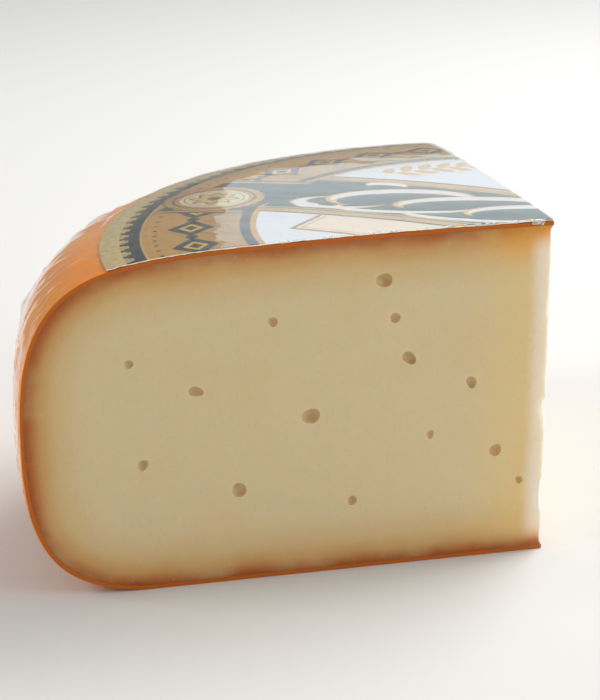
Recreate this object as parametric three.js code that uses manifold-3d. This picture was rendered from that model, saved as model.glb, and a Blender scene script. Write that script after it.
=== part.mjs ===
// A quarter of a waxed cheese wheel: the paste, its orange wax coat, the foil label on top, and
// the clear film shrunk over them. Millimetres, +Z up. The wedge lies on its flat lower face, the
// origin is on that plane under the middle of its bounding box, and the knife's tip points to +X.

import * as THREE from "three";
import { mergeVertices } from "three/addons/utils/BufferGeometryUtils.js";
import Module from "manifold-3d";

const wasm = await Module();
wasm.setup();

// The whole wheel, over its wax.
const wheelRadius = 175;
const wheelHeight = 118;
const equatorHeight = 56; // where the side bulges most
const crown = 6; // how far the top falls from its middle to its rim, before the shoulder
const settled = 1.5; // how much of the rounded underside is pressed flat by the weight
const edgePower = 11; // superellipse powers: how square the outline is, and how tight its shoulder
const shoulderPower = 2.6;

// The layers, from the paste outwards.
const waxThickness = 1.5;
const labelThickness = 0.3;
const filmThickness = 0.3;
const gap = 0.3; // between one layer and the next
const labelRadius = 145;
const filmHemHeight = 9; // the film's lower edge, above the table

// The cuts.
const wedgeAngle = Math.PI / 2;
const tipBeyondAxis = 6; // both cuts pass the wheel's axis by this much

// How finely the round shapes are faceted.
const wheelSegments = 72;
const shoulderSteps = 9;

// How far each face stands out from the wax's outer face.
const pasteFace = -waxThickness - gap;
const labelFace = gap;
const filmFace = labelFace + labelThickness + gap;

// The wheel's half outline at one offset, from the axis on top, over the shoulder and the side, to
// the axis below: a superellipse whose top is crowned and whose underside is pressed flat.
function wheelOutline(offset) {
  const upper = wheelHeight - equatorHeight;
  const lower = equatorHeight + settled;
  const line = [];
  for (let i = 0; i <= 2 * shoulderSteps; i++) {
    const turn = (i / shoulderSteps) * (Math.PI / 2);
    const across = Math.sin(turn) ** (2 / edgePower);
    const rise = Math.abs(Math.cos(turn)) ** (2 / shoulderPower);
    const z = i <= shoulderSteps ? (upper - crown * across ** 2) * rise : -lower * rise;
    line.push(new THREE.Vector2(i === 2 * shoulderSteps ? 0 : wheelRadius * across, equatorHeight + z));
  }
  return line.map((point, i) => {
    if (i === 0) return new THREE.Vector2(0, point.y + offset);
    if (i === line.length - 1) return new THREE.Vector2(0, -offset);
    const along = line[i + 1].clone().sub(line[i - 1]).normalize();
    const moved = point.clone().add(new THREE.Vector2(-along.y, along.x).multiplyScalar(offset));
    return new THREE.Vector2(moved.x, Math.max(moved.y, -offset));
  });
}

// The part of an outline from the axis on top to a radius on the top face.
function outlineToRadius(line, radius) {
  const kept = line.filter((point, i) => point.x < radius && i < shoulderSteps);
  const before = kept[kept.length - 1];
  const after = line[kept.length];
  const share = (radius - before.x) / (after.x - before.x);
  return [...kept, before.clone().lerp(after, share)];
}

// The part of an outline from the axis on top, over the side, to a height near its foot.
function outlineToHeight(line, height) {
  const kept = line.filter((point) => point.y > height);
  const before = kept[kept.length - 1];
  const after = line[kept.length];
  const share = (before.y - height) / (before.y - after.y);
  return [...kept, before.clone().lerp(after, share)];
}

// A solid from a closed geometry.
function solid(geometry) {
  const bare = geometry.index ? geometry.toNonIndexed() : geometry.clone();
  bare.deleteAttribute("normal");
  bare.deleteAttribute("uv");
  const welded = mergeVertices(bare, 1e-4);
  const mesh = new wasm.Mesh({
    numProp: 3,
    vertProperties: new Float32Array(welded.attributes.position.array),
    triVerts: new Uint32Array(welded.index.array),
  });
  return new wasm.Manifold(mesh);
}

// A solid turned about the wheel's axis, from a half outline that starts and ends on it. Lathe
// outlines run upwards for faces that point out, and the lathe turns about Y, so it is stood up.
function turned(outline) {
  const lathe = new THREE.LatheGeometry([...outline].reverse(), wheelSegments, Math.PI / wheelSegments);
  lathe.rotateX(Math.PI / 2);
  return solid(lathe);
}

// The prism between the two knife cuts, open towards -X.
function knifePrism() {
  const reach = 2 * wheelRadius;
  const half = wedgeAngle / 2;
  const corner = (angle) =>
    new THREE.Vector2(tipBeyondAxis - reach * Math.cos(angle), reach * Math.sin(angle));
  const plan = new THREE.Shape([
    new THREE.Vector2(tipBeyondAxis, 0),
    corner(half),
    new THREE.Vector2(-2 * reach, 0),
    corner(-half),
  ]);
  const prism = new THREE.ExtrudeGeometry(plan, { depth: 2 * wheelHeight, bevelEnabled: false });
  prism.translate(0, 0, -wheelHeight / 2);
  return solid(prism);
}

// A named mesh from a solid, cut by the knife and moved so that the wedge's box is centred.
const filmRadius = wheelRadius + filmFace + filmThickness;
const axisX = (filmRadius - tipBeyondAxis) / 2;
const knife = knifePrism();
function layer(name, whole, material) {
  const { numProp, vertProperties, triVerts } = whole.intersect(knife).getMesh();
  const positions = new Float32Array((vertProperties.length / numProp) * 3);
  for (let i = 0; i < positions.length; i++) {
    positions[i] = vertProperties[Math.floor(i / 3) * numProp + (i % 3)];
  }
  const geometry = new THREE.BufferGeometry();
  geometry.setAttribute("position", new THREE.BufferAttribute(positions, 3));
  geometry.setIndex(new THREE.BufferAttribute(new Uint32Array(triVerts), 1));
  geometry.computeVertexNormals();
  const mesh = new THREE.Mesh(geometry, material);
  mesh.name = name;
  mesh.position.x = axisX;
  return mesh;
}

// The paste fills the wax coat.
const paste = layer(
  "cheese",
  turned(wheelOutline(pasteFace)),
  new THREE.MeshStandardMaterial({ color: 0xe0c896, roughness: 0.5, metalness: 0 }),
);

// The wax coat is one skin over the top, the round side and the underside, open at the cuts.
const waxCoat = layer(
  "wax_coat",
  turned(wheelOutline(0)).subtract(turned(wheelOutline(-waxThickness))),
  new THREE.MeshStandardMaterial({ color: 0xeb8a12, roughness: 0.25, metalness: 0 }),
);

// The label is a disc of printed foil on the middle of the top face.
const labelOver = outlineToRadius(wheelOutline(labelFace + labelThickness), labelRadius);
const labelUnder = outlineToRadius(wheelOutline(labelFace), labelRadius);
const label = layer(
  "label",
  turned([...labelOver, ...labelUnder.reverse()]),
  new THREE.MeshStandardMaterial({ color: 0xc9bb8e, roughness: 0.35, metalness: 0.2 }),
);

// The film lies over the label and the wax, and its hem ends at the foot of the round side.
const filmOver = outlineToHeight(wheelOutline(filmFace + filmThickness), filmHemHeight);
const filmUnder = outlineToHeight(wheelOutline(filmFace), filmHemHeight);
const film = layer(
  "shrink_film",
  turned([...filmOver, ...filmUnder.reverse()]),
  new THREE.MeshStandardMaterial({
    color: 0xffffff,
    roughness: 0.1,
    metalness: 0,
    opacity: 0.2,
    transparent: true,
  }),
);

const wedge = new THREE.Group();
wedge.add(paste, waxCoat, label, film);

export default wedge;
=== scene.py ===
import math

import bmesh
import bpy
import numpy as np
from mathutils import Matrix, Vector


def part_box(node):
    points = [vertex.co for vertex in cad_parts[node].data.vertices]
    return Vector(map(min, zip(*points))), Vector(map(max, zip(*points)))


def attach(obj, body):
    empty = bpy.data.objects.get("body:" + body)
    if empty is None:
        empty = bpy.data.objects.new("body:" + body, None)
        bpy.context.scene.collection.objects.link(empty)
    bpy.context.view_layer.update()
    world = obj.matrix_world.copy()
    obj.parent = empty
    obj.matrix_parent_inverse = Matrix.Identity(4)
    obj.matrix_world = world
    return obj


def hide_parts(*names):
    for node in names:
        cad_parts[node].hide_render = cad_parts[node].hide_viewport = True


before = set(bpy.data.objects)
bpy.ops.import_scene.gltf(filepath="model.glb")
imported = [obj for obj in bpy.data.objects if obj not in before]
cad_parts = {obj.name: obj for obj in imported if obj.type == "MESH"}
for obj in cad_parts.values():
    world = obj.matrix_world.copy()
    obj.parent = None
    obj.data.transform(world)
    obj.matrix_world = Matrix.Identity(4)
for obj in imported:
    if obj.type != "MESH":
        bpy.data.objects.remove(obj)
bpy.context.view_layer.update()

# ---------------------------------------------------------------------------------------------
# The camera. It stands in front of the front cut face, a little towards the round side, and
# looks down on the wedge with the knife's tip at the right.
view_heading = math.radians(31)
view_height = math.radians(18.5)
view_distance = 0.74
aim = Vector((-0.007, 0.0, 0.056))


def away_from_wedge(heading, height):
    """The unit direction from the wedge at a heading round it and a height above the horizon."""
    level = math.cos(height)
    return Vector((math.sin(heading) * level, -math.cos(heading) * level, math.sin(height)))


camera_data = bpy.data.cameras.new("camera")
camera_data.sensor_fit = "HORIZONTAL"
camera_data.sensor_width = 36
camera_data.lens = 122
camera = bpy.data.objects.new("camera", camera_data)
bpy.context.collection.objects.link(camera)
camera.location = aim + away_from_wedge(view_heading, view_height) * view_distance
camera.rotation_euler = away_from_wedge(view_heading, view_height).to_track_quat("Z", "Y").to_euler()
bpy.context.scene.camera = camera

# ---------------------------------------------------------------------------------------------
# The studio: a pale floor that curves up into a pale wall, an even sky, a large soft lamp high
# behind the wedge, two weaker ones beside it and a faint one for a window on the round side.
floor_front = -9.0
wall_start = 2.2
wall_radius = 1.2
wall_top = 5.0
half_width = 9.0


def sheet_mesh(name, points, quads):
    """A smooth mesh object from an array of points and an array of four point numbers per face."""
    mesh = bpy.data.meshes.new(name)
    mesh.vertices.add(len(points))
    mesh.vertices.foreach_set("co", np.asarray(points, dtype=np.float32).ravel())
    mesh.loops.add(quads.size)
    mesh.loops.foreach_set("vertex_index", quads.astype(np.int32).ravel())
    mesh.polygons.add(len(quads))
    mesh.polygons.foreach_set("loop_start", np.arange(len(quads), dtype=np.int32) * 4)
    mesh.update(calc_edges=True)
    mesh.shade_smooth()
    piece = bpy.data.objects.new(name, mesh)
    bpy.context.collection.objects.link(piece)
    return piece


def grid_quads(rows, columns):
    """The point numbers of a grid's faces, for points numbered along each row in turn."""
    first = (np.arange(rows - 1)[:, None] * columns + np.arange(columns - 1)[None, :]).ravel()
    return np.stack([first, first + 1, first + columns + 1, first + columns], axis=1)


bend = np.linspace(0, math.pi / 2, 24)
wall_back = wall_start + wall_radius
run_back = np.concatenate([[floor_front], wall_start + wall_radius * np.sin(bend), [wall_back]])
run_up = np.concatenate([[0.0], wall_radius * (1 - np.cos(bend)), [wall_top]])
to_the_wall = -np.array(away_from_wedge(view_heading, 0))
along_the_wall = np.array(away_from_wedge(view_heading + math.pi / 2, 0))
sweep = (
    run_back[:, None, None] * to_the_wall
    + np.array([-half_width, half_width])[None, :, None] * along_the_wall
    + run_up[:, None, None] * np.array([0, 0, 1.0])
)
backdrop = sheet_mesh("backdrop", sweep.reshape(-1, 3), grid_quads(len(run_back), 2))
backdrop_paper = bpy.data.materials.new("backdrop_paper")
backdrop_paper.use_nodes = True
paper_shader = backdrop_paper.node_tree.nodes["Principled BSDF"]
paper_shader.inputs["Base Color"].default_value = (0.74, 0.74, 0.73, 1)
paper_shader.inputs["Roughness"].default_value = 0.8
backdrop.data.materials.append(backdrop_paper)

sky = bpy.data.worlds.new("studio_sky")
sky.use_nodes = True
sky_light = sky.node_tree.nodes["Background"]
sky_light.inputs["Color"].default_value = (0.93, 0.96, 1.0, 1)
sky_light.inputs["Strength"].default_value = 0.40
bpy.context.scene.world = sky
bpy.context.scene.view_settings.view_transform = "Standard"


def soft_lamp(name, heading, height, distance, size, power, colour):
    """A square lamp that faces the wedge from a heading and a height in degrees."""
    light = bpy.data.lights.new(name, "AREA")
    light.shape = "SQUARE"
    light.size = size
    light.energy = power
    light.color = colour
    lamp = bpy.data.objects.new(name, light)
    away = away_from_wedge(math.radians(heading), math.radians(height))
    lamp.location = aim + away * distance
    lamp.rotation_euler = away.to_track_quat("Z", "Y").to_euler()
    bpy.context.collection.objects.link(lamp)


soft_lamp("lamp_behind", 165, 50, 1.5, 1.0, 21, (1.0, 0.98, 0.95))
soft_lamp("lamp_left", -48, 34, 1.7, 0.7, 9, (1.0, 0.96, 0.90))
soft_lamp("lamp_right", 100, 26, 1.8, 0.9, 7, (1.0, 0.98, 0.96))
soft_lamp("lamp_window", 204, 21, 2.0, 0.8, 1.4, (0.82, 0.93, 1.0))

# ---------------------------------------------------------------------------------------------
# The paste: pale semi-hard cheese, pressed in a round mould and cut through with a long knife.
# One solid. Its cut faces carry the eyes, the knife's faint drag and a worn, chipped tip edge.
#
# The wedge is a quarter of a wheel whose axis runs a little inside the tip. equator is the height
# of the wheel's widest line, crown how far the middle of its top stands over the shoulder, and
# settled how much its weight has flattened off the foot. The two powers shape the shoulder.
wax_low, wax_high = (np.array(corner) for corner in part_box("wax_coat"))
tip_x = float(wax_high[0])
tip_beyond_axis = 0.006
axis_x = tip_x - tip_beyond_axis
wheel_radius = axis_x - wax_low[0]
wheel_height = wax_high[2]
equator = 0.056
crown = 0.006
settled = 0.0015
edge_power = 11
shoulder_power = 2.6
wax_thickness = 0.0015
front_cut, rear_cut = math.radians(225), math.radians(135)
diagonal = math.sqrt(0.5)


def reach_to_circle(radius, heading):
    """How far from the tip a circle about the wheel's axis lies in a direction."""
    half_chord = np.sqrt(radius**2 - (tip_beyond_axis * np.sin(heading)) ** 2)
    return half_chord - tip_beyond_axis * np.cos(heading)


def wheel_skin(share, heading, offset):
    """Points and outward normals on the wheel's skin. share runs from 0 at the tip's top, over 1 on
    the widest line of the round side, to 2 at the tip's foot, and heading is the direction from
    the tip. The outline is a superellipse with a crowned top and a flattened foot: the height
    falls as (1 - k^a)^(1/b), k being the distance from the axis over the radius, a the edge power
    and b the shoulder power. offset moves the point out along its normal."""
    share, heading, offset = np.broadcast_arrays(share, heading, offset)
    on_top = share <= 1
    reach = np.where(on_top, share, 2 - share) * reach_to_circle(wheel_radius, heading)
    x = tip_beyond_axis + reach * np.cos(heading)
    y = reach * np.sin(heading)
    radius = np.maximum(np.hypot(x, y), 1e-9)
    k = np.minimum(radius / wheel_radius, 1)
    rounded = np.maximum(1 - k**edge_power, 1e-12)
    shoulder = rounded ** (1 / shoulder_power)
    fall = -(edge_power / shoulder_power) * k ** (edge_power - 1) * shoulder / rounded / wheel_radius
    upper = wheel_height - equator - crown * k**2
    lower = equator + settled
    z = equator + np.where(on_top, upper * shoulder, -lower * shoulder)
    slope = np.where(on_top, upper * fall - 2 * crown * k / wheel_radius * shoulder, lower * fall)
    length = np.hypot(slope, 1)
    up = np.where(on_top, 1, -1) / length
    normal = np.stack([-slope / length * x / radius, -slope / length * y / radius, up], axis=-1)
    point = np.stack([axis_x + x, y, z], axis=-1) + normal * offset[..., None]
    point[..., 2] = np.maximum(point[..., 2], np.maximum(-offset, 0))
    return point, normal


# How far along the top and the side each share lies, for the wheel cut through its axis.
share_table = 1 - (1 - np.linspace(0, 1, 40001)) ** 3
outline_steps = np.linalg.norm(np.diff(wheel_skin(share_table, math.pi, 0)[0], axis=0), axis=1)
outline_table = np.concatenate([[0], np.cumsum(outline_steps)])


def share_at(distance):
    """The share on the wheel's skin at a distance from the tip along the top and the side."""
    return np.interp(distance, outline_table, share_table)


def over_and_under(shares):
    """The shares from the tip's top to the widest line, followed by the same ones underneath."""
    return np.concatenate([shares, 2 - shares[-2::-1]])


def swell(points, size, seed, waves=18):
    """A smooth random height, mostly between -1 and 1: a sum of plane waves near one length."""
    dice = np.random.default_rng(seed)
    way = dice.normal(size=(waves, 3))
    lengths = np.linalg.norm(way, axis=1)
    way *= (2 * math.pi / size * dice.uniform(0.6, 1.5, waves) / lengths)[:, None]
    phase = dice.uniform(0, 2 * math.pi, waves)
    return sum(np.sin(points @ one + start) for one, start in zip(way, phase)) / math.sqrt(waves)


def fade(value, low, high):
    """0 below low, 1 above high and a smooth step between."""
    share = np.clip((value - low) / (high - low), 0, 1)
    return share * share * (3 - 2 * share)


def weld(piece, sharp=40):
    """Joins the points of a closed piece's seams and poles, turns its faces outwards, and shades
    it smooth up to an angle in degrees."""
    work = bmesh.new()
    work.from_mesh(piece.data)
    bmesh.ops.remove_doubles(work, verts=work.verts, dist=2e-6)
    bmesh.ops.recalc_face_normals(work, faces=work.faces)
    work.to_mesh(piece.data)
    work.free()
    piece.data.shade_smooth()
    piece.data.set_sharp_from_angle(angle=math.radians(sharp))


def add_value(piece, name, values):
    """A number on each point of a piece, for its material to read."""
    added = piece.data.attributes.new(name, "FLOAT", "POINT")
    added.data.foreach_set("value", values.astype(np.float32))


# The cut faces are one sheet of columns, from the front cut's round end, round the tip, to the
# rear cut's. Its rows run from the top to the foot. The paste bites a little way into the wax, so
# that no gap shows between them.
bite_into_wax = 0.0002
paste_inset = wax_thickness - bite_into_wax
paste_cell = 0.0013
paste_steps = np.linspace(0, outline_table[-1], int(outline_table[-1] / paste_cell))
tip_steps = (0.0003, 0.0006, 0.0009, 0.0017, 0.0021, 0.0030)
paste_shares = share_at(np.union1d(paste_steps, tip_steps))
tip_column = len(paste_shares) - 1
sheet_shares = np.concatenate([paste_shares[::-1], paste_shares[1:]])
sheet_side = np.where(np.arange(len(sheet_shares)) <= tip_column, -1.0, 1.0)
sheet_heading = np.where(sheet_side < 0, front_cut, rear_cut)
sheet_rows = 88
sheet_top = wheel_skin(sheet_shares, sheet_heading, -paste_inset)[0]
sheet_foot = wheel_skin(2 - sheet_shares, sheet_heading, -paste_inset)[0]
flat_cut = sheet_top + (sheet_foot - sheet_top) * np.linspace(0, 1, sheet_rows)[:, None, None]
cut_reach = np.hypot(tip_x - sheet_top[:, 0], sheet_top[:, 1])
cut_along = np.stack([np.cos(sheet_heading), np.sin(sheet_heading), 0 * sheet_side], axis=1)
cut_out = np.stack([diagonal + 0 * sheet_side, sheet_side * diagonal, 0 * sheet_side], axis=1)
cut_out[tip_column] = (1, 0, 0)

# The eyes of the front cut and of the rear cut: distance from the tip, height, width, depth, how
# much longer than wide, and tilt in degrees.
front_eyes = [
    (0.058, 0.1010, 0.0052, 0.00240, 1.15, 10),
    (0.055, 0.0880, 0.0036, 0.00160, 1.1, -30),
    (0.049, 0.0745, 0.0046, 0.00224, 1.3, 40),
    (0.0275, 0.0630, 0.0040, 0.00192, 1.2, 75),
    (0.0185, 0.0380, 0.0044, 0.00208, 1.1, 0),
    (0.0095, 0.0265, 0.0028, 0.00128, 1.2, 60),
    (0.083, 0.0560, 0.0058, 0.00272, 1.35, -15),
    (0.096, 0.0900, 0.0034, 0.00144, 1.2, 30),
    (0.108, 0.0330, 0.0050, 0.00240, 1.15, 55),
    (0.121, 0.0680, 0.0042, 0.00192, 1.5, 20),
    (0.068, 0.0245, 0.0034, 0.00160, 1.1, 0),
    (0.139, 0.0450, 0.0036, 0.00160, 1.3, -40),
    (0.143, 0.0800, 0.0030, 0.00128, 1.1, 15),
    (0.041, 0.0460, 0.0028, 0.00120, 1.2, -60),
]
rear_eyes = [
    (0.026, 0.0820, 0.0044, 0.00208, 1.2, 20),
    (0.038, 0.0440, 0.0054, 0.00256, 1.3, -35),
    (0.052, 0.0960, 0.0034, 0.00160, 1.1, 0),
    (0.063, 0.0640, 0.0048, 0.00224, 1.15, 70),
    (0.077, 0.0280, 0.0040, 0.00192, 1.25, 15),
    (0.089, 0.0840, 0.0056, 0.00256, 1.4, -20),
    (0.104, 0.0520, 0.0036, 0.00160, 1.1, 45),
    (0.118, 0.0930, 0.0030, 0.00128, 1.2, 0),
    (0.127, 0.0350, 0.0046, 0.00208, 1.2, -50),
    (0.145, 0.0660, 0.0038, 0.00176, 1.3, 30),
    (0.016, 0.0560, 0.0030, 0.00144, 1.1, 0),
]

# Chips out of the tip edge: height, how deep they bite and half their length.
tip_chips = [
    (0.052, 0.0016, 0.0035),
    (0.0465, 0.0009, 0.0022),
    (0.089, 0.0007, 0.0050),
    (0.020, 0.0013, 0.0060),
]
tip_rounding = 0.0016
tip_wander = 0.00014
edge_zone = 0.0015


def shaped_cut(point, out, reach, foot, top):
    """Points of the flat cut with the knife's relief and the worn tip edge. The relief is long
    shallow waves and a faint grain along the outward direction. The wear moves points back from
    the tip: a rounding, a wander and the chips. The rounding is 0.353 R (1 - reach / R)^2, whose
    slope at the edge makes the two cuts meet in one smooth curve. All fades out at the foot and
    the top."""
    height = point[..., 2]
    reach = np.broadcast_to(reach, height.shape)
    inner = fade(height - foot, 0, edge_zone) * fade(top - height, 0, edge_zone)
    drag = np.stack([reach * 0.35, height, reach * 0.05], axis=-1)
    relief = 0.00016 * swell(drag, 0.030, 11) + 0.00006 * swell(drag, 0.009, 12)
    relief = relief + 0.00003 * swell(point, 0.0035, 13)
    relief = relief - 0.00025 * np.clip(1 - reach / 0.02, 0, 1)
    worn = 0.353 * tip_rounding * np.clip(1 - reach / tip_rounding, 0, 1) ** 2
    wander = tip_wander * (1 + np.sin(height * 410 + 1.3 * np.sin(height * 930)))
    worn = worn + wander * np.clip(1 - reach / 0.006, 0, 1) ** 2
    for middle, depth, half in tip_chips:
        bite = np.clip(1 - ((height - middle) / half) ** 2, 0, 1) ** 0.6
        worn = worn + depth * bite * np.clip(1 - reach / (2.2 * depth), 0, 1)
    moved = point + out * (relief * inner)[..., None]
    moved[..., 0] -= worn * inner
    return moved


def eye_rings(side, eye, cells):
    """The square of the sheet round one eye as rings, which pass from the square to the eye's rim
    and down a hollow that is part of an ellipsoid. Marks the square's faces as gone in cells, and
    returns the ring points, how deep each lies, and the numbers of the square's own points."""
    reach, height, width, depth, stretch, tilt = eye
    column = int(np.argmin(np.where(sheet_side == side, np.abs(cut_reach - reach), 1)))
    row = int(np.argmin(np.abs(flat_cut[:, column, 2] - height)))
    half = int(math.ceil(width * stretch * 0.5 / paste_cell * 1.2)) + 1
    if not cells[row - half : row + half, column - half : column + half].all():
        raise ValueError(f"the eye {eye} touches another or the sheet's border")
    cells[row - half : row + half, column - half : column + half] = False
    numbers = np.arange(sheet_rows * len(sheet_shares)).reshape(sheet_rows, -1)
    numbers = numbers[row - half : row + half + 1, column - half : column + half + 1]
    square = np.concatenate([numbers[0, :-1], numbers[:-1, -1], numbers[-1, :0:-1], numbers[:0:-1, 0]])
    middle = flat_cut[row, column]
    edge = flat_cut.reshape(-1, 3)[square] - middle
    edge = np.stack([edge @ cut_along[column], edge[:, 2]], axis=1)
    around = np.arctan2(edge[:, 1], edge[:, 0])
    turned = around - math.radians(tilt)
    long, short = width / 2 * math.sqrt(stretch), width / 2 / math.sqrt(stretch)
    rim = long * short / np.hypot(short * np.cos(turned), long * np.sin(turned))
    rim = rim * (1 + 0.05 * np.sin(2 * around + reach * 900) + 0.04 * np.sin(3 * around + height * 700))
    rim = rim[:, None] * np.stack([np.cos(around), np.sin(around)], axis=1)
    # near is how far each flat ring has come from the square to the rim, and dip the angle down
    # the ellipsoid of each ring in the hollow. The rings by the rim are raised into a faint lip.
    near = np.array([0.35, 0.62, 0.82, 0.93, 0.985])[:, None, None]
    dip = np.radians(np.array([-14, -5, 6, 18, 31, 44, 56, 67, 78, 90]))
    shrink = (np.cos(dip) / math.cos(dip[0]))[:, None, None]
    rings = np.concatenate([(1 - near) * edge + near * rim, shrink * rim])
    sunk = depth * (np.sin(dip) - math.sin(dip[0])) / (1 - math.sin(dip[0]))
    sunk = np.concatenate([np.zeros(len(near)), sunk])[:, None] * np.ones(len(square))
    lip = np.zeros(len(rings))
    lip[3:6] = (0.00005, 0.00011, 0.00012)
    flat = middle + rings[..., :1] * cut_along[column] + rings[..., 1:] * np.array([0, 0, 1.0])
    foot, top = flat_cut[-1, column, 2], flat_cut[0, column, 2]
    moved = shaped_cut(flat, cut_out[column], cut_reach[column] + rings[..., 0], foot, top)
    rise = lip[:, None] * (0.4 - np.sin(around)) - sunk - 0.08 * sunk * swell(flat, 0.003, 14)
    return moved + cut_out[column] * rise[..., None], sunk, square


cells = np.ones((sheet_rows - 1, len(sheet_shares) - 1), dtype=bool)
sheet_points = shaped_cut(flat_cut, cut_out, cut_reach, sheet_foot[:, 2], sheet_top[:, 2])
paste_points = [sheet_points.reshape(-1, 3)]
paste_quads = []
point_total = sheet_rows * len(sheet_shares)
paste_sunk = [np.zeros(point_total)]
sided_eyes = [(-1.0, eye) for eye in front_eyes] + [(1.0, eye) for eye in rear_eyes]
for side, eye in sided_eyes:
    rings, sunk, square = eye_rings(side, eye, cells)
    numbers = np.concatenate([square[None], point_total + np.arange(sunk.size).reshape(sunk.shape)])
    beside = np.roll(numbers, -1, axis=1)
    ring_quads = np.stack([numbers[:-1], beside[:-1], beside[1:], numbers[1:]], axis=-1)
    paste_quads.append(ring_quads.reshape(-1, 4))
    paste_points.append(rings.reshape(-1, 3))
    paste_sunk.append(sunk.ravel())
    point_total += sunk.size
paste_quads.append(grid_quads(sheet_rows, len(sheet_shares))[cells.ravel()])

# The skin of the paste under the wax, from the front cut round to the rear one.
skin_headings = np.linspace(front_cut, rear_cut, 41)
skin = wheel_skin(over_and_under(paste_shares)[:, None], skin_headings, -paste_inset)[0]
skin_total = skin.shape[0] * skin.shape[1]
paste_quads.append(grid_quads(*skin.shape[:2]) + point_total)
paste_points.append(skin.reshape(-1, 3))
paste_sunk.append(np.zeros(skin_total))

# Each point's distance to the rind, measured in the plane of the cuts.
outline = np.concatenate([sheet_top[: tip_column + 1], sheet_foot[: tip_column + 1]])
outline = np.stack([np.concatenate([cut_reach[: tip_column + 1]] * 2), outline[:, 2]], axis=1)
paste_all = np.concatenate(paste_points)
in_plane = np.stack([np.hypot(tip_x - paste_all[:, 0], paste_all[:, 1]), paste_all[:, 2]], axis=1)
rind = np.concatenate([
    np.sqrt(((some[:, None] - outline[None]) ** 2).sum(-1)).min(1)
    for some in np.array_split(in_plane, 40)
])
rind[-skin_total:] = 0

cheese = sheet_mesh("cheese_paste", paste_all, np.concatenate(paste_quads))
add_value(cheese, "rind", rind)
add_value(cheese, "hollow", np.concatenate(paste_sunk))
weld(cheese, sharp=55)
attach(cheese, "root")
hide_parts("cheese")


class Flow:
    """One output socket of a shader node. Arithmetic on it adds the Math nodes it stands for."""

    def __init__(self, tree, socket):
        self.tree = tree
        self.socket = socket

    def node(self, kind, settings=(), sockets=(), output=0):
        """Adds any node, with its settings first and then its sockets' values or links."""
        added = self.tree.nodes.new(kind)
        for name, value in dict(settings).items():
            setattr(added, name, value)
        for name, value in dict(sockets).items():
            if isinstance(value, Flow):
                self.tree.links.new(value.socket, added.inputs[name])
            else:
                added.inputs[name].default_value = value
        return Flow(self.tree, added.outputs[output])

    def maths(self, operation, *values):
        """A Math node on values, of which this may be one."""
        return self.node("ShaderNodeMath", {"operation": operation}, enumerate(values))

    def __add__(self, other):
        return self.maths("ADD", self, other)

    def __sub__(self, other):
        return self.maths("SUBTRACT", self, other)

    def __rsub__(self, other):
        return self.maths("SUBTRACT", other, self)

    def __mul__(self, other):
        return self.maths("MULTIPLY", self, other)

    def __truediv__(self, other):
        return self.maths("DIVIDE", self, other)

    def __pow__(self, other):
        return self.maths("POWER", self, other)

    def __abs__(self):
        return self.maths("ABSOLUTE", self)

    __radd__ = __add__
    __rmul__ = __mul__

    def least(self, other):
        return self.maths("MINIMUM", self, other)

    def past_whole(self):
        """What is left of this over the whole number below it."""
        return self.maths("FRACT", self)

    def sine(self):
        return self.maths("SINE", self)

    def cosine(self):
        return self.maths("COSINE", self)

    def angle(self, level):
        """The angle of a point with this height and a level reach, from -pi to pi."""
        return self.maths("ARCTAN2", self, level)

    def fade(self, low, high):
        """0 where this is below low, 1 where it is above high, a smooth step between."""
        sockets = {"Value": self, "From Min": low, "From Max": high}
        return self.node("ShaderNodeMapRange", {"interpolation_type": "SMOOTHSTEP"}, sockets)

    def mix(self, first, second):
        """The first colour where this is 0 and the second where it is 1."""
        return self.node("ShaderNodeMix", {"data_type": "RGBA"}, {0: self, 6: first, 7: second}, output=2)

    def stretch(self, x, y, z):
        """This vector with its parts multiplied."""
        return self.node("ShaderNodeVectorMath", {"operation": "MULTIPLY"}, {0: self, 1: (x, y, z)})

    def noise(self, size, detail=2.0, roughness=0.5):
        """Noise between about 0 and 1 whose waves are about size long."""
        sockets = {"Vector": self, "Scale": 1 / size, "Detail": detail, "Roughness": roughness}
        return self.node("ShaderNodeTexNoise", (), sockets)

    def parts(self):
        """The three numbers of this vector."""
        split = self.node("ShaderNodeSeparateXYZ", (), {0: self}).socket.node
        return [Flow(self.tree, socket) for socket in split.outputs]

    def bump(self):
        """The normal of a surface with this height in metres."""
        return self.node("ShaderNodeBump", (), {"Strength": 1.0, "Distance": 1.0, "Height": self})


def new_look(piece, name):
    """A new material on a piece: its Principled shader's node, and the object's coordinates."""
    look = bpy.data.materials.new(name)
    look.use_nodes = True
    piece.data.materials.append(look)
    shader = look.node_tree.nodes["Principled BSDF"]
    place = Flow(look.node_tree, look.node_tree.nodes.new("ShaderNodeTexCoord").outputs["Object"])
    return shader, place


def feed(shader, sockets):
    """Sets or links a shader's sockets."""
    for name, value in sockets.items():
        if isinstance(value, Flow):
            value.tree.links.new(value.socket, shader.inputs[name])
        else:
            shader.inputs[name].default_value = value


def dye(red, green, blue):
    """A colour given in display steps of 0 to 255, as linear light."""
    steps = np.array([red, green, blue]) / 255
    light = np.where(steps <= 0.04045, steps / 12.92, ((steps + 0.055) / 1.055) ** 2.4)
    return (*light.tolist(), 1.0)


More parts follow.
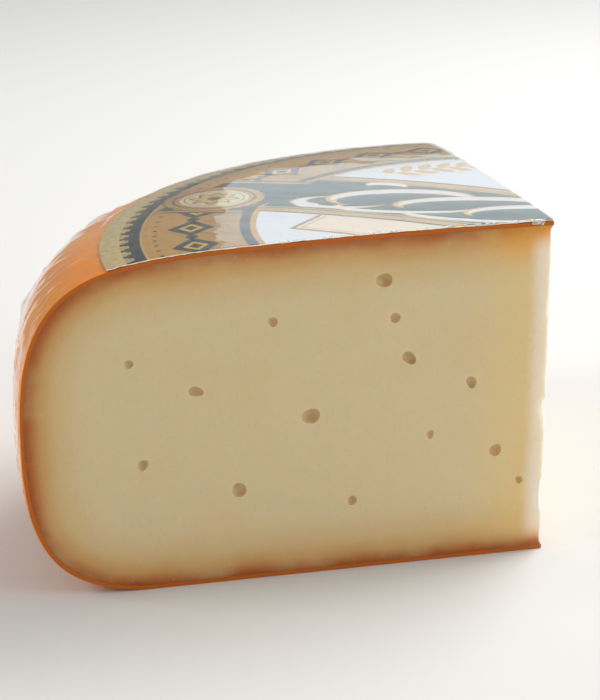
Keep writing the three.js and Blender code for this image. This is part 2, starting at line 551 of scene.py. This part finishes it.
# The paste is dark and orange close under the wax and pale further in, partly the drier rind's own colour
# and partly painted light coming through the orange wax. By the tip it has a painted golden glow, for
# light that comes through it, and a painted pale strip along the tip's edge, for back light through the
# thin edge.
paste_shader, place = new_look(cheese, "cheese_paste")
x, y, z = place.parts()
depth = place.node("ShaderNodeAttribute", {"attribute_name": "rind"}, (), "Fac")
hollow = place.node("ShaderNodeAttribute", {"attribute_name": "hollow"}, (), "Fac")
blotches = place.noise(0.022, 3)
grain = place.noise(0.0011, 3, 0.6)
drag = place.stretch(1, 1, 0.06).noise(0.0016, 2)
uneven_depth = depth + (blotches - 0.5) * 0.0014
# Darker orange towards the rind: partly the drier rind's own colour, partly painted light coming through
# the orange wax.
colour = uneven_depth.fade(-0.001, 0.0060).mix(dye(184, 84, 14), dye(212, 152, 78))
colour = uneven_depth.fade(0.001, 0.011).mix(colour, dye(226, 194, 136))
colour = uneven_depth.fade(0.006, 0.021).mix(colour, dye(231, 211, 168))
colour = (blotches.fade(0.42, 0.72) * 0.35).mix(colour, dye(230, 204, 150))
from_tip = ((x - tip_x) ** 2 + y * y) ** 0.5
inner = depth.fade(0.0015, 0.009)
# Painted light: a golden glow by the tip, deeper low down and orange by the wax at the top, for light
# that comes through the thin paste.
painted_tip_glow = 1 - from_tip.fade(0.004, 0.034)
colour = (painted_tip_glow * inner * 0.65).mix(colour, dye(242, 214, 146))
colour = (painted_tip_glow * inner * (1 - z.fade(0.0, 0.06)) * 0.35).mix(colour, dye(232, 192, 116))
painted_glow_under_wax = 1 - (depth.fade(0.003, 0.016) + (1 - z.fade(0.06, 0.08))).least(1)
colour = (painted_tip_glow * painted_glow_under_wax * 0.75).mix(colour, dye(248, 176, 62))
# Painted light: a pale strip along the tip's edge, for back light coming through the thin edge.
painted_backlit_strip = 1 - (from_tip + (blotches - 0.5) * 0.003).fade(0.0030, 0.0088)
colour = (painted_backlit_strip * inner * 0.85).mix(colour, dye(247, 238, 220))
colour = ((1 - grain.fade(0.3, 0.42)) * 0.14).mix(colour, dye(205, 165, 105))
colour = (grain.fade(0.64, 0.72) * 0.18).mix(colour, dye(250, 240, 215))
# Painted shade: the eyes' hollows are tinted darker and warmer with their depth.
colour = (hollow.fade(0.0002, 0.0022) * 0.22).mix(colour, dye(236, 196, 108))
relief = grain * 0.00006 + drag * 0.00006 + place.noise(0.004, 3) * 0.00018
relief = relief * (1 - hollow.fade(0, 0.0004) * 0.6)
feed(paste_shader, {
    "Base Color": colour,
    "Roughness": 0.44 + 0.16 * grain - 0.16 * hollow.fade(0.0002, 0.001),
    "Specular IOR Level": 0.42,
    "Subsurface Weight": 0.8,
    "Subsurface Radius": (1.0, 0.55, 0.25),
    "Subsurface Scale": 0.006,
    "Normal": relief.bump(),
})

# ---------------------------------------------------------------------------------------------
# The wax coat: the wheel was dipped in orange wax, which set as one skin 1.5 mm thick over the
# top, the round side and the underside. The knife left it open at the two cuts.
def closed_shell(name, outer, inner):
    """A closed piece from two grids of points, one over the other, joined round their borders."""
    rows, columns = outer.shape[:2]
    face = grid_quads(rows, columns)
    numbers = np.arange(rows * columns).reshape(rows, columns)
    border = np.concatenate([numbers[0, :-1], numbers[:-1, -1], numbers[-1, :0:-1], numbers[:0:-1, 0]])
    after = np.roll(border, -1)
    rim = np.stack([border, after, after + rows * columns, border + rows * columns], axis=1)
    points = np.concatenate([outer.reshape(-1, 3), inner.reshape(-1, 3)])
    return sheet_mesh(name, points, np.concatenate([face, face[:, ::-1] + rows * columns, rim]))


def past_the_knife(points, amount):
    """Moves a grid's two cut borders out past the cut planes, but not near the tip."""
    reach = np.hypot(tip_x - points[..., 0], points[..., 1])
    moved = points.copy()
    for column, side in ((0, -1.0), (-1, 1.0)):
        push = amount * fade(reach[:, column], 0.002, 0.012)
        moved[:, column, 0] += push * diagonal
        moved[:, column, 1] += push * side * diagonal
    return moved


wax_rows = over_and_under(share_at(np.linspace(0, outline_table[-1], 110)))[:, None]
wax_headings = np.linspace(front_cut, rear_cut, 121)
wax_bare = wheel_skin(wax_rows, wax_headings, 0)[0]
dents = 0.00007 * (1 + swell(wax_bare, 0.022, 21)) + 0.00004 * (1 + swell(wax_bare, 0.008, 22))
wax_outer = wheel_skin(wax_rows, wax_headings, -np.clip(dents, 0, 0.0004))[0]
wax_inner = wheel_skin(wax_rows, wax_headings, -wax_thickness)[0]
wax_proud = 0.00008
wax = closed_shell("wax_skin", past_the_knife(wax_outer, wax_proud), past_the_knife(wax_inner, wax_proud))
weld(wax, sharp=50)
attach(wax, "root")
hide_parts("wax_coat")


def past_the_cut(x, y):
    """How far a point is past the nearer cut plane: the two planes are x - tip + |y| = 0."""
    return (x - tip_x + abs(y)) * diagonal


wax_shader, place = new_look(wax, "orange_wax")
x, y = place.parts()[:2]
clouds = place.noise(0.035, 3)
speckle = place.noise(0.0014, 2)
colour = clouds.fade(0.30, 0.74).mix(dye(240, 140, 8), dye(250, 160, 16))
colour = (place.noise(0.009, 3).fade(0.55, 0.75) * 0.15).mix(colour, dye(208, 104, 10))
colour = (speckle.fade(0.68, 0.74) * 0.5).mix(colour, dye(188, 88, 8))
colour = past_the_cut(x, y).fade(-0.0001, 0.0).mix(colour, dye(204, 106, 26))
feed(wax_shader, {
    "Base Color": colour,
    "Roughness": 0.30 + 0.10 * clouds,
    "Specular IOR Level": 0.2,
    "Subsurface Weight": 0.15,
    "Subsurface Radius": (1.0, 0.6, 0.2),
    "Subsurface Scale": 0.0008,
    "Normal": (place.noise(0.006, 2) * 0.0001 + speckle * 0.00001).bump(),
})

# ---------------------------------------------------------------------------------------------
# The label: thin metal foil backed with paper, printed in rings round a dark ribbon, glued to the
# wax. Its gathered gold rim is pleated where the flat foil goes over towards the shoulder.
label_radius = 0.83 * wheel_radius
foil_thickness = 0.00022
label_rows = np.concatenate([np.linspace(0, 0.925, 150), np.linspace(0.93, 1, 24)])[:, None]
label_headings = np.linspace(front_cut, rear_cut, 221)
rim_share = reach_to_circle(label_radius, label_headings) / reach_to_circle(wheel_radius, label_headings)
label_flat = wheel_skin(label_rows * rim_share, label_headings, 0)[0]


def round_the_rim(points):
    """The points drawn in towards one circle, so that waves over them become radial pleats."""
    spread = points - np.array([axis_x, 0, 0])
    radius = np.hypot(spread[..., 0], spread[..., 1])[..., None]
    return spread * (0.25 + 0.75 * label_radius / np.maximum(radius, 0.02))


radius = np.hypot(label_flat[..., 0] - axis_x, label_flat[..., 1])
rim_near = fade(radius, label_radius - 0.0085, label_radius - 0.002)
pleats = (1 - np.abs(swell(round_the_rim(label_flat), 0.0055, 31))) * rim_near
soft_folds = (1 - np.clip(np.abs(swell(label_flat, 0.06, 32)) * 3, 0, 1)) ** 2
buckle = 0.5 + 0.5 * np.clip(swell(label_flat, 0.035, 33), -1, 1)
foil_rest, pleat_height, fold_height, buckle_height = 0.00028, 0.00034, 0.00009, 0.00010
label_lift = foil_rest + pleat_height * np.clip(pleats, 0, 1)
label_lift = label_lift + fold_height * soft_folds + buckle_height * buckle
label_top = wheel_skin(label_rows * rim_share, label_headings, label_lift)[0]
label_back = wheel_skin(label_rows * rim_share, label_headings, label_lift - foil_thickness)[0]
fray = np.clip(0.00022 + 0.00022 * swell(label_flat, 0.0026, 34)[:, 0], 0, 0.0005)
label = closed_shell("foil_label", past_the_knife(label_top, fray), past_the_knife(label_back, fray))
weld(label, sharp=50)
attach(label, "root")
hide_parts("label")

# The print is drawn on u and v, the place on the wheel's face as shares of the wheel's radius,
# on r, the distance from its middle, and on the bearing round it. soft is half an ink edge.
label_shader, place = new_look(label, "printed_foil")
x, y = place.parts()[:2]
u = (x - axis_x) / wheel_radius
v = y / wheel_radius
r = (u * u + v * v) ** 0.5
bearing = v.angle(u * -1)
soft = 0.0012


def above(value, limit):
    """1 where a value is over a limit."""
    return value.fade(limit - soft, limit + soft)


def below(value, limit):
    """1 where a value is under a limit."""
    return 1 - above(value, limit)


def band(value, low, high):
    """1 where a value lies between two others."""
    return above(value, low) * below(value, high)


def within(middle_u, middle_v, long, short, tilt=0.0):
    """The distance from an ellipse's middle, 1 on its edge, with its long axis tilted in degrees."""
    cosine, sine = math.cos(math.radians(tilt)), math.sin(math.radians(tilt))
    along = (u - middle_u) * (cosine / long) + (v - middle_v) * (sine / long)
    across = (v - middle_v) * (cosine / short) - (u - middle_u) * (sine / short)
    return (along * along + across * across) ** 0.5


def repeat(value, length):
    """How far a value is from the nearest whole number of lengths, signed."""
    return (value / length + 0.5).past_whole() * length - length / 2


gold = dye(222, 168, 70)
pale_gold = dye(240, 206, 128)
night = dye(16, 28, 34)
pine = dye(8, 52, 48)
silver = dye(222, 225, 232)
cream = dye(232, 212, 190)


class FoilPrint:
    """The print so far: its colour, and the share of bare metal that shines through it."""

    def __init__(self, colour, metal):
        self.colour = colour
        self.metal = metal

    def paint(self, mask, ink, shine):
        """Puts an ink on where a mask is 1, with its own share of metal."""
        self.colour = mask.mix(self.colour, ink)
        self.metal = mask * shine + (1 - mask) * self.metal


foil_print = FoilPrint(silver, 0.3)
paint = foil_print.paint

# The panel's leaf sprig: pointed leaves in pairs along an arc above the ribbon.
sprig_run = v.fade(0.19, 0.20)
for side, start in ((1, 0.0), (-1, 0.045)):
    leaf_along = repeat(bearing - start, 0.09) * 0.46
    leaf_across = (r - 0.462) * side - 0.024
    tilted_along = leaf_along * 0.64 + leaf_across * 0.77
    tilted_across = leaf_along * 0.77 - leaf_across * 0.64
    leaf_edge = abs(tilted_across) + tilted_along * tilted_along * 13
    paint(below(leaf_edge, 0.0125) * sprig_run, gold, 0.7)
    paint(below(abs(tilted_across), 0.0012) * below(leaf_edge, 0.0125) * sprig_run, pale_gold, 0.7)
paint(band(r, 0.460, 0.464) * sprig_run, gold, 0.7)

# The dark ribbon, with a gold stripe and borders along both edges.
ribbon_top = 0.172 - 0.22 * u * u
ribbon_foot = -0.133 - 0.24 * u * u
paint(band(v - ribbon_top, -0.0005, 0.008), night, 0.1)
paint(band(v - ribbon_top, -0.025, 0.0), gold, 0.8)
paint(band(v - ribbon_foot, -0.008, 0.0005), night, 0.1)
paint(band(v - ribbon_foot, 0.0, 0.022), gold, 0.8)
inside_ribbon = (v - ribbon_foot).fade(0.021, 0.023) * (1 - (v - ribbon_top).fade(-0.027, -0.025))
paint(inside_ribbon, pine, 0.25)
paint(inside_ribbon * band(v - ribbon_top, -0.034, -0.030), pale_gold, 0.6)
paint(inside_ribbon * band(v - ribbon_foot, 0.029, 0.033), pale_gold, 0.6)

# The cream banner and the white below it, left blank.
under_ribbon = below(v - ribbon_foot, -0.012)
banner_side = u + 0.37
banner_foot = v + 0.26 + 0.15 * u * u
banner_lines = (
    (-0.009, gold, 0.8),
    (-0.0045, night, 0.1),
    (0.0, cream, 0.15),
    (0.008, gold, 0.8),
    (0.011, cream, 0.15),
)
for inset, ink, shine in banner_lines:
    banner = above(banner_side, inset) * above(banner_foot, inset)
    paint(under_ribbon * banner, ink, shine)

# Open flourishes on the ribbon: long tapering strokes that spell nothing. Each is an ellipse less
# another one set off from it.
strokes = [
    ((-0.395, -0.075, 0.090, 0.048, 20), (-0.380, -0.060, 0.086, 0.044, 20)),
    ((-0.378, 0.095, 0.042, 0.020, 15), (-0.372, 0.080, 0.040, 0.014, 15)),
    ((-0.300, 0.010, 0.140, 0.070, 28), (-0.285, -0.006, 0.140, 0.062, 27)),
    ((-0.260, -0.060, 0.130, 0.040, 22), (-0.255, -0.046, 0.134, 0.036, 22)),
    ((-0.150, 0.035, 0.150, 0.055, 30), (-0.138, 0.020, 0.152, 0.047, 29)),
    ((-0.120, -0.060, 0.120, 0.034, 16), (-0.118, -0.048, 0.124, 0.030, 16)),
    ((-0.030, 0.030, 0.120, 0.050, 34), (-0.020, 0.016, 0.122, 0.043, 33)),
    ((-0.440, -0.118, 0.024, 0.018, 0), (-0.436, -0.113, 0.010, 0.007, 0)),
]
flourish_yellow = dye(226, 180, 50)
flourish_white = dye(232, 228, 234)
shapes = [(within(*whole), within(*removed)) for whole, removed in strokes]
for whole, removed in shapes:
    paint(below(whole, 1.07) * (1 - below(removed, 0.95)) * inside_ribbon, flourish_yellow, 0.5)
for whole, removed in shapes:
    paint(below(whole, 1.0) * (1 - below(removed, 1.0)) * inside_ribbon, flourish_white, 0.35)

# The ribbon's folded tail.
tail_top = 0.055 + (u + 0.52) * 0.28
tail_foot = -0.219 + (u + 0.498) * 0.31
tail = u.fade(-0.701, -0.699) * (1 - u.fade(-0.521, -0.519)) * above(v - tail_foot, 0)
tail = tail * below(v - tail_top, 0)

# The rings outside the panel: a line, a dark ring, a gold field with a chain of lozenges, dots and
# beads, the ribbon's tail over it, a dark ring with a comb of teeth and the plain gold rim. A
# length along a ring is its bearing times its radius.
lozenge_ring = 0.658
lozenge_step = 0.19
bead_ring = 0.727
tooth_step = 2 * math.pi / 120
paint(above(r, 0.535), gold, 0.85)
paint(band(r, 0.547, 0.567), night, 0.1)
field = r.fade(0.568, 0.74).mix(dye(198, 156, 84), dye(232, 176, 72))
paint(above(r, 0.567), field, 0.75)
lozenge_row = repeat(bearing, lozenge_step) * 0.66
lozenge = abs(lozenge_row) / 0.055 + abs(r - lozenge_ring) / 0.045
paint(below(lozenge, 1.0), night, 0.1)
paint(below(lozenge, 0.55), dye(232, 190, 60), 0.5)
paint(below(lozenge, 0.30), night, 0.1)
dot_row = repeat(bearing - lozenge_step / 2, lozenge_step) * 0.66
dot = (dot_row * dot_row + (r - lozenge_ring) * (r - lozenge_ring)) ** 0.5
paint(below(dot, 0.012), night, 0.1)
bead_row = repeat(bearing, lozenge_step / 4) * 0.72
bead = (bead_row * bead_row + (r - bead_ring) * (r - bead_ring)) ** 0.5
paint(below(bead, 0.0045), night, 0.1)
paint(tail, pine, 0.25)
tail_edge = (v - tail_foot).least(tail_top - v)
paint(tail * below(tail_edge, 0.020), gold, 0.8)
paint(tail * below(tail_edge, 0.006), night, 0.1)
paint(tail * u.fade(-0.532, -0.520), night, 0.1)
paint(above(r, 0.75), pale_gold, 0.85)
paint(above(r, 0.755), night, 0.15)
tooth = abs(repeat(bearing, tooth_step)) * 0.784
paint(above(r, 0.775), night, 0.15)
paint(r.fade(0.775, 0.777) * below(tooth, 0.0080), pale_gold, 0.8)
paint(r.fade(0.783, 0.785) * below(tooth, 0.0145), pale_gold, 0.8)
paint(above(r, 0.793), dye(246, 222, 158), 0.7)

# The round gold seal on the ribbon's tail: rings, a rosette and a scalloped edge.
seal_u = u + 0.641
seal_v = v + 0.143
seal_r = (seal_u * seal_u + seal_v * seal_v) ** 0.5
seal_turn = seal_v.angle(seal_u)
scallop = (seal_turn * 28).sine() * 0.0022
paint(below(seal_r + scallop, 0.104), night, 0.15)
paint(below(seal_r + scallop, 0.101), gold, 0.9)
paint(band(seal_r, 0.080, 0.084), night, 0.2)
paint(below(seal_r, 0.070), dye(238, 222, 176), 0.6)
paint(band(seal_r, 0.059, 0.061), night, 0.2)
petals = (seal_turn * 8).cosine() * 0.008
paint(below(seal_r + petals, 0.044), dye(170, 118, 40), 0.8)
paint(below(seal_r + petals, 0.036), pale_gold, 0.8)
paint(below(seal_r, 0.014), dye(130, 86, 28), 0.6)

# The foil's cut edge, where the white paper behind it shows.
paint(past_the_cut(x, y).fade(-0.00035, -0.0001), dye(240, 236, 226), 0.1)

creases = 1 - abs(place.noise(0.010, 4, 0.6) - 0.5).fade(0.0, 0.02)
scuffs = place.noise(0.0035, 3).fade(0.60, 0.72)
weave = place.noise(0.012, 2)
rolled_out = {"X": bearing * (0.8 * wheel_radius), "Y": r * (0.12 * wheel_radius)}
round_rim = place.node("ShaderNodeCombineXYZ", (), rolled_out)
rim_pleats = abs(round_rim.noise(0.0035, 2) - 0.5).fade(0.0, 0.12) * r.fade(0.770, 0.805)
buckles = place.noise(0.030, 2)
feed(label_shader, {
    "Base Color": (scuffs * 0.12).mix(foil_print.colour, dye(240, 236, 225)),
    "Metallic": foil_print.metal * 0.8,
    "Roughness": 0.20 + 0.10 * weave,
    "Coat Weight": 0.25,
    "Coat Roughness": 0.12,
    "Normal": (creases * 0.00003 + buckles * 0.0007 + rim_pleats * 0.0005).bump(),
})

# ---------------------------------------------------------------------------------------------
# The film: clear plastic shrunk tight over the label and the wax. It creases on the shoulder,
# ends in a hem at the foot of the round side, and was cut through together with the cheese.
film_thickness = 0.00005
shoulder_start = 0.136
film_side = np.linspace(shoulder_start, outline_table[-1], 92)
film_flat = np.linspace(0, shoulder_start, 30)[:-1]
film_over = share_at(np.concatenate([film_flat, film_side]))
hem_share = 0.9217
film_under = 2 - film_over[(film_over > hem_share) & (film_over < 1)][::-1]
film_rows = np.concatenate([film_over, film_under])[:, None]
film_headings = np.linspace(front_cut, rear_cut, 215)
film_bare = wheel_skin(film_rows, film_headings, 0)[0]
film_height = film_bare[..., 2]
radius = np.hypot(film_bare[..., 0] - axis_x, film_bare[..., 1])
over_label = 1 - fade(radius, label_radius, label_radius + 0.004)
over_label = np.where(film_height > equator, over_label, 0)
on_shoulder = fade(radius, 0.150, 0.160) * fade(film_height, 0.055, 0.085)


def ridges(points, lengthen, size, sharpness, seed):
    """Narrow ridges where a random swell s passes 0: max(0, 1 - sharpness * |s|)^2. lengthen
    scales the heights first: under 1 the ridges run up and down, over 1 they run round the side."""
    waves = swell(points * np.array([1, 1, lengthen]), size, seed)
    return np.clip(1 - sharpness * np.abs(waves), 0, 1) ** 2


# The creases: tall and fine ones up and down the shoulder, more of them towards the rear cut, and
# longer ones round the side.
ridge_height, fine_ridge_height, hoop_ridge_height = 0.00060, 0.00045, 0.00045
ridge = ridges(round_the_rim(film_bare), 0.5, 0.016, 1.6, 41)
fine_ridge = ridges(film_bare, 0.6, 0.010, 1.5, 42)
rear_more = 0.6 + 0.5 * fade(film_bare[..., 1], 0.02, 0.11)
on_side = fade(radius, 0.166, 0.174) * fade(film_height, 0.015, 0.050)
hoop_ridge = ridges(film_bare, 3.0, 0.022, 1.7, 46)
crease = ridge_height * ridge + fine_ridge_height * fine_ridge
crease = crease * rear_more * (0.15 + 0.85 * on_shoulder)
crease = (crease + hoop_ridge_height * hoop_ridge * on_side) * (1 - over_label)

# Blisters of trapped air, and the seam where the film's two ends were lapped: a step that fades
# away on one side.
blister = 0.0010 * np.clip(swell(film_bare, 0.016, 43) - 0.9, 0, 0.5) * (1 - over_label)
seam_height, seam_width, seam_tail = 0.00032, 0.006, 0.07
seam_heading = math.radians(196) + 0.035 * np.sin(film_height * 40)
beyond_seam = seam_heading - film_headings
seam = seam_height * fade(beyond_seam, 0, seam_width) * (1 - fade(beyond_seam, seam_width, seam_tail))
seam = seam * (1 - over_label)

# One loose pinch of film stands up on the shoulder.
pinch_radius, pinch_heading, pinch_level = 0.1725, math.radians(211), 0.088
pinch_width, pinch_height = 0.0080, 0.0030
pinch_x = axis_x + pinch_radius * math.cos(pinch_heading)
pinch = np.array([pinch_x, pinch_radius * math.sin(pinch_heading), pinch_level])
pinch_away = np.linalg.norm(film_bare - pinch, axis=-1)

# How far the film lies over the wheel's skin: close on the wax, over the foil where that is, and
# within limits that keep it off the foil and inside the wedge's full size.
over_wax, over_foil = 0.00016, 0.00074
film_least, film_most = 0.00010, 0.00114
film_lift = over_wax + over_foil * over_label + crease + blister + seam
film_lift = np.clip(film_lift + 0.00004 * swell(film_bare, 0.012, 44), film_least, film_most)
film_lift = film_lift + pinch_height * np.clip(1 - pinch_away / pinch_width, 0, 1) ** 2.0
film_outer = wheel_skin(film_rows, film_headings, film_lift)[0]
film_inner = wheel_skin(film_rows, film_headings, film_lift - film_thickness)[0]
# The cut left its edge a little proud and uneven.
film_edge = np.clip(0.0003 + 0.0002 * swell(film_bare[:, 0], 0.004, 45), 0, 0.0008)
film_faces = [past_the_knife(film_outer, film_edge), past_the_knife(film_inner, film_edge)]
film = closed_shell("clear_film", *film_faces)
# Where the film looks white: along the seam and on the pinch.
seam_line = np.exp(-((beyond_seam / 0.0045) ** 2)) * (1 - over_label)
seam_line = seam_line + 0.8 * np.clip(1 - pinch_away / 0.0075, 0, 1)
add_value(film, "crease", np.tile(crease.ravel(), 2))
add_value(film, "seam", np.tile(seam_line.ravel(), 2))
weld(film, sharp=60)
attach(film, "root")
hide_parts("shrink_film")

# The film shows as its gloss and as a little white haze on the creases, the seam and the flecks.
film_shader, place = new_look(film, "clear_film")
tree = place.tree
creased = place.node("ShaderNodeAttribute", {"attribute_name": "crease"}, (), "Fac")
seamed = place.node("ShaderNodeAttribute", {"attribute_name": "seam"}, (), "Fac")
ripples = place.noise(0.012, 2) * 0.00012 + place.noise(0.0028, 2) * 0.00001
normal = ripples.bump()
facing_out = 1 - place.node("ShaderNodeNewGeometry", (), (), "Backfacing")
gloss_share = place.node("ShaderNodeFresnel", (), {"IOR": 1.40, "Normal": normal}) * facing_out
mirror = {"Color": (1, 1, 1, 1), "Roughness": 0.035, "Normal": normal}
gloss = place.node("ShaderNodeBsdfGlossy", (), mirror)
clear = place.node("ShaderNodeBsdfTransparent", (), {"Color": (0.985, 0.985, 0.98, 1)})
milk = place.node("ShaderNodeBsdfDiffuse", (), {"Color": (0.86, 0.86, 0.84, 1), "Roughness": 0.5})
flecks = place.noise(0.0016, 3).fade(0.66, 0.72) * place.noise(0.02, 2).fade(0.5, 0.65)
haze = (creased.fade(0.0003, 0.0010) * 0.10 + seamed * 0.22 + flecks * 0.25) * facing_out
glossed = place.node("ShaderNodeMixShader", (), {0: gloss_share, 1: clear, 2: gloss})
hazed = place.node("ShaderNodeMixShader", (), {0: haze, 1: glossed, 2: milk})
tree.nodes.remove(film_shader)
tree.links.new(hazed.socket, tree.nodes["Material Output"].inputs["Surface"])

# ---------------------------------------------------------------------------------------------
# Torn scraps of the film and the label's paper, dragged over the front cut's upper edge by the
# knife: two curls beside the tip and small shreds further along. They leave the film's top, which
# is film_top over the wheel's skin, from a root just behind the cut.
dice = np.random.default_rng(71)
shred_total = 46
film_top = 0.00082
shred_root = 0.0003
shred_reach = np.concatenate([[0.0062, 0.0040], dice.uniform(0.009, 0.095, shred_total - 2)])
shred_width = np.concatenate([[0.0040, 0.0018], dice.uniform(0.0003, 0.0016, shred_total - 2)])
shred_length = np.concatenate([[0.0034, 0.0026], dice.uniform(0.0003, 0.0015, shred_total - 2)])
shred_curl = np.concatenate([[3.6, 2.0], dice.uniform(0.5, 2.6, shred_total - 2)])
shred_lean = dice.uniform(-0.5, 0.5, shred_total)
shred_taper = np.concatenate([[0.7, 0.6], dice.uniform(0.2, 0.9, shred_total - 2)])


def shred(number, inset):
    """A ribbon that leaves the edge level and bends down at an even rate: its points follow an
    arc of a given length and turn. It leans sideways and narrows towards its end. inset moves it
    along the arc's own normal, for the ribbon's other side."""
    run = np.linspace(0, 1, 12)[:, None]
    across = np.linspace(-0.5, 0.5, 7)[None, :]
    length, curl = shred_length[number], shred_curl[number]
    turn = curl * run
    out = length / curl * np.sin(turn) + inset * np.sin(turn)
    up = -length / curl * (1 - np.cos(turn)) + inset * np.cos(turn)
    wide = shred_width[number] * (1 - shred_taper[number] * run**1.5) * across
    wide = wide + shred_lean[number] * length * run
    wide = wide + 0.0001 * np.sin(9 * run + number + 5 * across)
    up = up + 0.00006 * np.sin(14 * across + number) * run
    share = shred_reach[number] / reach_to_circle(wheel_radius, front_cut)
    start = wheel_skin(share, front_cut, film_top)[0]
    along = np.array([math.cos(front_cut), math.sin(front_cut), 0])
    away = np.array([diagonal, -diagonal, 0])
    level = start + wide[..., None] * along + (out - shred_root)[..., None] * away
    return level + up[..., None] * np.array([0, 0, 1.0])


all_shreds = bmesh.new()
for number in range(shred_total):
    torn = closed_shell("one_shred", shred(number, 0.0), shred(number, -film_thickness))
    weld(torn)
    all_shreds.from_mesh(torn.data)
    bpy.data.objects.remove(torn)
scraps = bpy.data.objects.new("film_scraps", bpy.data.meshes.new("film_scraps"))
all_shreds.to_mesh(scraps.data)
all_shreds.free()
bpy.context.collection.objects.link(scraps)
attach(scraps, "root")

scraps_shader, place = new_look(scraps, "torn_film")
feed(scraps_shader, {
    "Base Color": dye(238, 236, 230),
    "Roughness": 0.25,
    "Alpha": 0.30 + 0.45 * place.noise(0.0012, 2).fade(0.4, 0.65),
    "Coat Weight": 0.6,
    "Coat Roughness": 0.08,
})
